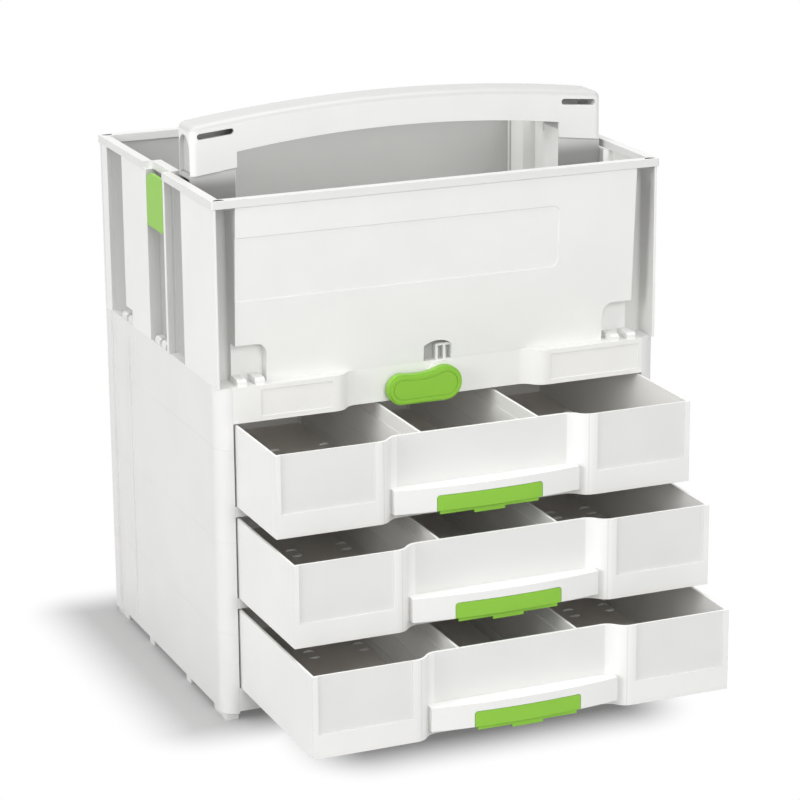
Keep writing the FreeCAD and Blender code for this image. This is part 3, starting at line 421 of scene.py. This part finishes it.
def catch_mask(x, y, z):
    """1 on the back wall of the catch pocket in the tote's front, which is painted greyer as shade."""
    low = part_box("tote_body")[0]
    wall = low.y + CATCH_DEPTH
    top = low.z + CATCH_HEIGHT
    across = 1 - abs(x).step(CATCH_HALF, CATCH_HALF + 2 * TENTH)
    below = 1 - z.step(top, top + 2 * TENTH)
    return y.within(wall - 3 * TENTH, wall + 3 * TENTH, TENTH) * across * below


def keep(mask, share):
    """The share inside the mask and 1 outside it."""
    return 1 - mask * (1 - share)


def tote_shade(nodes, tone, x, y, z):
    """Painted shade: greyer channels, darkest under the rim; a greyer catch pocket, inner back wall and rim.
    """
    settings = bpy.context.scene.drawerbox_plastic
    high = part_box("tote_body")[1]
    rim_low = high.z - RIM_HEIGHT
    fall = (high.z - z).step(0.0, CHANNEL_FADE) * 0.2 + 0.9
    sides, front = channel_masks(x, y, z)
    # Painted shade: the rim band above rim_low, where below_rim is 0, is painted greyer
    below_rim = 1 - z.step(rim_low - 3 * TENTH, rim_low)
    # Painted shade on the tote's inner back wall below the rim
    inside = y.within(high.y - INSIDE_BACK, high.y - WALL / 2, TENTH)
    inside = inside * (1 - abs(x).step(high.x - WALL, high.x))
    # Each keep below paints shade: it greys one region of the tote's white
    kept = (keep(sides, fall * settings.recess_shade)
            * keep(front, fall * settings.front_shade)
            * keep(catch_mask(x, y, z), settings.recess_shade)
            * keep(inside * below_rim, settings.inside_shade)
            * keep(rim_hole_mask(x, y, z), settings.hole_shade)
            * keep(1 - below_rim, settings.rim_shade))
    return nodes.blend(kept, BLACK, tone)


def leg_shade(nodes, tone, x, y, z):
    """Painted shade: the fronts of the handle's legs grow greyer downwards; the faces towards the middle stay
    white.
    """
    settings = bpy.context.scene.drawerbox_plastic
    inner_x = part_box("handle_leg_right")[0].x
    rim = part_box("tote_body")[1].z
    outer = abs(x).step(inner_x + TENTH, inner_x + 3 * TENTH)
    down = 1 - z.step(rim + LEG_FADE[0], rim + LEG_FADE[1])
    return nodes.blend(keep(outer * (0.3 + 0.7 * down), settings.leg_shade), BLACK, tone)


def grip_shade(nodes, tone, x, y, z):
    """Painted shade on the grip's rounded top and in the recesses in its ends."""
    settings = bpy.context.scene.drawerbox_plastic
    low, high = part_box("handle_grip")
    lintel = high.z - GRIP_LINTEL
    recess = (abs(x).within(high.x - GRIP_RECESS - 2 * TENTH, high.x - 4 * TENTH, TENTH)
              * y.within(low.y + GRIP_FRAME, high.y - GRIP_FRAME, TENTH)
              * (1 - z.step(lintel, lintel + TENTH)))
    arch = (high.x ** 2 + GRIP_RISE ** 2) / (2 * GRIP_RISE)
    drop = z - (high.z - arch)
    palm = ((x * x + drop * drop) ** 0.5).step(arch - 1.1 * GRIP_ROUND, arch - 0.5 * GRIP_ROUND)
    kept = keep(recess, settings.grip_shade) * keep(palm, settings.palm_shade)
    return nodes.blend(kept, BLACK, tone)


def drawer_shade(drawer):
    """Painted shade on one drawer: greyer label fields and set-back front, and a warmer, slightly darker
    floor.
    """
    low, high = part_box(drawer + "_tray")
    face_y = high.y - DRAWER_LENGTH
    middle_y = face_y + FRONT_BOW
    floor_z = low.z + DRAWER_FLOOR

    def shade(nodes, tone, x, y, z):
        settings = bpy.context.scene.drawerbox_plastic
        label = y.within(face_y + LABEL_DEPTH / 2, face_y + LABEL_DEPTH + TENTH, TWENTIETH)
        label = label * abs(x).step(LABEL_INNER - TWENTIETH, LABEL_INNER)
        middle = y.within(middle_y - 2 * TENTH, middle_y + 2 * TENTH, TWENTIETH)
        floor = z.within(floor_z - 3 * TENTH, floor_z + TENTH, TWENTIETH)
        # Painted shade: the label fields and the set-back front are greyed
        tone = nodes.blend((label + middle) * (1 - settings.label_shade), tone, BLACK)
        # Painted shade on the drawer's floor
        return nodes.blend(floor, tone, rgba(settings.painted_floor_shade))

    return shade


def rounded_edges(nodes, radius):
    """Shading normal that rounds off the edges of a flat-sided piece."""
    return nodes.field("ShaderNodeBevel", {"samples": 4}, {"Radius": radius})


def plastic(name, colour, roughness, shine, settings, seams=False, shade=None):
    """Injection-moulded plastic: fine grain, faint flow mottling, softened edges, and painted shade where a
    shade function is given.
    """
    material, nodes = new_material(name)
    point, (x, y, z) = nodes.place()
    flow = nodes.noise(point, settings.mottle, 2.0)
    grain = nodes.noise(point, settings.grain, 2.0)
    tone = nodes.blend(flow.step(0.3, 0.7), rgba(colour, 0.985), rgba(colour, 1.015))
    height = grain * settings.grain_depth
    if shade:
        tone = shade(nodes, tone, x, y, z)
    if seams:
        groove = seam_mask(z, settings)
        tone = nodes.blend(groove * 0.10, tone, rgba(colour, 0.6))
        height = height - groove * settings.seam_depth
    bump = nodes.field("ShaderNodeBump", {}, {
        "Strength": 0.6, "Distance": 1.0, "Height": height,
        "Normal": rounded_edges(nodes, settings.edge)})
    shader = nodes.field("ShaderNodeBsdfPrincipled", {}, {
        "Base Color": tone, "Roughness": flow * 0.06 + (roughness - 0.03), "Normal": bump,
        "Specular IOR Level": shine})
    nodes.add("ShaderNodeOutputMaterial", {}, {"Surface": shader})
    return material


def steel(name, colour, settings):
    """Zinc-plated steel with a fine crystal bloom."""
    material, nodes = new_material(name)
    point, _ = nodes.place()
    bloom = nodes.noise(point, settings.bloom, 3.0)
    tone = nodes.blend(bloom, rgba(colour, 0.85), rgba(colour, 1.1))
    shader = nodes.field("ShaderNodeBsdfPrincipled", {}, {
        "Base Color": tone, "Metallic": 1.0, "Roughness": bloom * 0.15 + 0.25,
        "Normal": rounded_edges(nodes, settings.edge / 2)})
    nodes.add("ShaderNodeOutputMaterial", {}, {"Surface": shader})
    return material


class DRAWERBOX_OT_finishes(bpy.types.Operator):
    """Gives every moulded part, pin and screw its plastic or steel"""

    bl_idname = "drawerbox.finishes"
    bl_label = "Finish the Parts"

    def execute(self, context):
        settings = context.scene.drawerbox_plastic

        def white(name, share=1.0, **more):
            colour = Vector(settings.white) * share
            return plastic(name, colour, settings.gloss, settings.shine, settings, **more)

        finishes = {
            "white_plastic": white("white_plastic"),
            "green_plastic": plastic("green_plastic", settings.green, settings.gloss - 0.06,
                                     settings.green_shine, settings),
            "steel": steel("zinc_steel", settings.steel, settings),
        }
        # Materials with painted shade: a darker copy of the white for the housing, and shade functions for the
        # legs, grip, tote and drawers
        special = {
            # Painted shade: the housing takes the white at the housing_shade share
            "cabinet_side": white("housing_plastic", settings.housing_shade, seams=True),
            "handle_leg": white("leg_plastic", shade=leg_shade),
            "handle_grip": white("grip_plastic", shade=grip_shade),
            "tote_body": white("tote_plastic", shade=tote_shade),
        }
        for drawer in DRAWERS:
            special[drawer + "_tray"] = white(drawer + "_plastic", shade=drawer_shade(drawer))
        for part in frame["record"]["subparts"]:
            piece = frame["nodes"][part["node"]]
            finish = finishes[part["material_slot"]]
            for start, other in special.items():
                if part["node"].startswith(start):
                    finish = other
            piece.data.materials.clear()
            piece.data.materials.append(finish)
        return {"FINISHED"}


# ------------------------------------------------------------------ floor studs
def crescent(radius, width, rise, spread, steps, across):
    """Closed half-moon ridge on a circle about the origin, facing +Y.

    The first parameter runs along the arc and the second round the section. The section is a
    half round of the full width and rise at the arc's middle, and shrinks with the cosine of
    the way along to a point at each end; its flat underside lies just below the floor.
    """
    along = np.linspace(-1, 1, steps + 1)[:, None]
    around = np.linspace(0, 2 * math.pi, across, endpoint=False)[None, :]
    size = np.cos(along * math.pi / 2)
    distance = radius + width / 2 * size * np.cos(around)
    angle = along * spread / 2
    x = distance * np.sin(angle)
    y = distance * np.cos(angle)
    z = size * rise * np.maximum(np.sin(around), -0.2)
    return np.stack(np.broadcast_arrays(x, y, z), axis=-1)


def tube_faces(rows, columns):
    """Quads of a grid that closes on itself round its second direction."""
    i, j = np.meshgrid(np.arange(rows - 1), np.arange(columns), indexing="ij")
    nxt = (j + 1) % columns
    return np.stack([i * columns + j, (i + 1) * columns + j, (i + 1) * columns + nxt, i * columns + nxt],
                    axis=-1).reshape(-1, 4)


def mesh_piece(name, points, faces):
    """A closed piece from points and quads, its ends drawn together and its faces turned outwards."""
    mesh = bpy.data.meshes.new(name)
    mesh.from_pydata(points.reshape(-1, 3).tolist(), [], faces.tolist())
    work = bmesh.new()
    work.from_mesh(mesh)
    bmesh.ops.remove_doubles(work, verts=work.verts, dist=1e-6)
    bmesh.ops.recalc_face_normals(work, faces=work.faces)
    work.to_mesh(mesh)
    work.free()
    mesh.shade_smooth()
    piece = bpy.data.objects.new(name, mesh)
    bpy.context.collection.objects.link(piece)
    return piece


def stud_places(drawer, setback):
    """Middles of the pairs of studs: rows beside each divider and beside each side wall."""
    outer_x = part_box(drawer + "_tray")[1].x
    divider_low, divider_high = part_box(drawer + "_divider_right")
    divider_x = (divider_low.x + divider_high.x) / 2
    bin_width = outer_x - divider_x
    rows = divider_x + np.array(STUD_ROWS) * bin_width
    xs = np.concatenate([-rows, rows])
    front = divider_low.y - DIVIDER_START
    return np.stack([xs, np.full_like(xs, front + setback), np.full_like(xs, divider_low.z)], axis=-1)


class DRAWERBOX_OT_floor_studs(bpy.types.Operator):
    """Raises pairs of crescent studs on the floor of every drawer"""

    bl_idname = "drawerbox.floor_studs"
    bl_label = "Raise the Floor Studs"

    def execute(self, context):
        settings = context.scene.drawerbox_studs
        across = 12
        front = crescent(settings.radius, settings.width, settings.rise, settings.spread,
                         settings.steps, across)
        pair = np.stack([front, front * (-1, -1, 1)])
        faces = tube_faces(settings.steps + 1, across)
        for drawer in DRAWERS:
            places = stud_places(drawer, settings.setback)
            points = places[:, None, None, None, :] + pair[None]
            count = points.shape[0] * points.shape[1]
            offsets = np.arange(count) * (settings.steps + 1) * across
            all_faces = (faces[None] + offsets[:, None, None]).reshape(-1, 4)
            studs = mesh_piece(drawer + "_floor_studs", points, all_faces)
            studs.data.materials.append(bpy.data.materials["white_plastic"])
            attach(studs, drawer)
        return {"FINISHED"}


# ------------------------------------------------------------------ studio
def floor_disc(radius, rings, spokes):
    """Flat round floor: rings of points at even steps of the square root of the way out."""
    way = (np.arange(1, rings + 1) / rings)[:, None] ** 2 * radius
    turn = np.linspace(0, 2 * math.pi, spokes, endpoint=False)[None, :]
    ground = np.zeros_like(way * turn)
    points = np.stack([way * np.cos(turn), way * np.sin(turn), ground], axis=-1).reshape(-1, 3)
    points = np.concatenate([points, [[0.0, 0.0, 0.0]]])
    inner = np.arange(spokes)
    fan = np.stack([np.full(spokes, rings * spokes), inner, (inner + 1) % spokes], axis=-1)
    return points, fan.tolist() + tube_faces(rings, spokes).tolist()


def seen_directly(nodes):
    """1 for what the camera sees itself, in a reflection or through glass."""
    path = nodes.add("ShaderNodeLightPath", {}, {})
    camera = Field(nodes, path.outputs["Is Camera Ray"])
    glossy = Field(nodes, path.outputs["Is Glossy Ray"])
    through = Field(nodes, path.outputs["Is Transmission Ray"])
    return camera.larger(glossy).larger(through)


def outside(x, y, corners, margin):
    """Distance of a floor point from a box's footprint drawn in by a margin, 0 inside it."""
    low, high = corners
    dx = (abs(x - (low.x + high.x) / 2) - (high.x - low.x) / 2 + margin).larger(0.0)
    dy = (abs(y - (low.y + high.y) / 2) - (high.y - low.y) / 2 + margin).larger(0.0)
    return (dx * dx + dy * dy) ** 0.5


def floor_material(light):
    """Matt floor, grey near the box where it keeps its shadows and adds a painted shadow drawn further out on
    the left, and lifted to white away from it.
    """
    material, nodes = new_material("studio_floor")
    matt = nodes.field("ShaderNodeBsdfDiffuse", {}, {"Color": (light.grey, light.grey, light.grey, 1.0)})
    white = nodes.field("ShaderNodeEmission", {}, {"Color": WHITE, "Strength": 1.0})
    _, (x, y, _) = nodes.place()
    # Painted shadow: the floor stays grey near the tote, further out on the left, and near the lowest drawer
    tote = outside(x + SHADOW_SHIFT, y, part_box("tote_body"), 0.0).step(*TOTE_SHADOW)
    drawer = outside(x, y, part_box("drawer_3_tray"), DRAWER_SHADOW_INSET).step(*DRAWER_SHADOW)
    lift = seen_directly(nodes) * (light.floor + tote.smaller(drawer) * (1 - light.floor))
    mixed = nodes.field("ShaderNodeMixShader", {}, {0: lift, 1: matt, 2: white})
    nodes.add("ShaderNodeOutputMaterial", {}, {"Surface": mixed})
    return material


def soft_box(name, place, width, power):
    """Square lamp that faces the middle of the part."""
    lamp = bpy.data.lights.new(name, "AREA")
    lamp.shape = "SQUARE"
    lamp.size = width
    lamp.energy = power
    box = bpy.data.objects.new(name, lamp)
    bpy.context.collection.objects.link(box)
    box.location = place
    box.rotation_euler = (Vector(MIDDLE) - Vector(place)).to_track_quat("-Z", "Y").to_euler()


class DRAWERBOX_OT_studio(bpy.types.Operator):
    """Sets the floor, the surroundings, the soft boxes and the camera"""

    bl_idname = "drawerbox.studio"
    bl_label = "Set the Studio"

    def execute(self, context):
        scene = context.scene
        light = scene.drawerbox_light
        points, faces = floor_disc(FLOOR_RADIUS, FLOOR_RINGS, FLOOR_SPOKES)
        mesh = bpy.data.meshes.new("studio_floor")
        mesh.from_pydata(points.tolist(), [], faces)
        mesh.materials.append(floor_material(light))
        floor = bpy.data.objects.new("studio_floor", mesh)
        scene.collection.objects.link(floor)

        scene.world = bpy.data.worlds.new("studio")
        scene.world.use_nodes = True
        nodes = Nodes(scene.world.node_tree)
        even = nodes.field("ShaderNodeBackground", {}, {"Color": WHITE, "Strength": light.ambient})
        white = nodes.field("ShaderNodeBackground", {}, {"Color": WHITE, "Strength": 1.0})
        mixed = nodes.field("ShaderNodeMixShader", {}, {0: seen_directly(nodes), 1: even, 2: white})
        nodes.add("ShaderNodeOutputWorld", {}, {"Surface": mixed})

        for name, power, place, width in LAMPS:
            soft_box(name, place, width, getattr(light, power))
        scene.view_settings.view_transform = "Standard"
        scene.camera = place_camera(scene.drawerbox_view)
        return {"FINISHED"}


def place_camera(view):
    """Camera turned to its heading, tipped down by its dip and rolled about its line of sight."""
    ahead = Vector((math.sin(view.heading) * math.cos(view.dip),
                    math.cos(view.heading) * math.cos(view.dip), -math.sin(view.dip)))
    level = Vector((math.cos(view.heading), -math.sin(view.heading), 0.0))
    upright = level.cross(ahead)
    right = level * math.cos(view.roll) + upright * math.sin(view.roll)
    above = right.cross(ahead)
    turn = Matrix((right, above, -ahead)).transposed().to_4x4()
    lens = bpy.data.cameras.new("camera")
    lens.lens = view.lens
    lens.sensor_width = 36.0
    camera = bpy.data.objects.new("camera", lens)
    bpy.context.scene.collection.objects.link(camera)
    camera.matrix_world = Matrix.Translation(view.place) @ turn
    return camera


# ------------------------------------------------------------------ panel
class DRAWERBOX_PT_panel(bpy.types.Panel):
    """Lists the steps and their settings"""

    bl_label = "Drawer Box"
    bl_idname = "DRAWERBOX_PT_panel"
    bl_space_type = "VIEW_3D"
    bl_region_type = "UI"
    bl_category = "Drawer Box"

    def draw(self, context):
        for step, group in STEPS:
            box = self.layout.box()
            box.operator(step.bl_idname)
            for name in group:
                settings = getattr(context.scene, name)
                for key in settings.bl_rna.properties.keys():
                    if key not in ("rna_type", "name"):
                        box.prop(settings, key)


STEPS = (
    (DRAWERBOX_OT_finishes, ("drawerbox_plastic",)),
    (DRAWERBOX_OT_floor_studs, ("drawerbox_studs",)),
    (DRAWERBOX_OT_studio, ("drawerbox_light", "drawerbox_view")),
)
GROUPS = {
    "drawerbox_plastic": PlasticSettings,
    "drawerbox_studs": StudSettings,
    "drawerbox_light": LightSettings,
    "drawerbox_view": ViewSettings,
}
CLASSES = tuple(GROUPS.values()) + tuple(step for step, _ in STEPS) + (DRAWERBOX_PT_panel,)


def register():
    for cls in CLASSES:
        bpy.utils.register_class(cls)
    for name, group in GROUPS.items():
        setattr(bpy.types.Scene, name, PointerProperty(type=group))


def unregister():
    for name in GROUPS:
        delattr(bpy.types.Scene, name)
    for cls in reversed(CLASSES):
        bpy.utils.unregister_class(cls)


def main():
    register()
    for step, _ in STEPS:
        group, name = step.bl_idname.split(".")
        getattr(getattr(bpy.ops, group), name)()


if __name__ == "__main__":
    main()
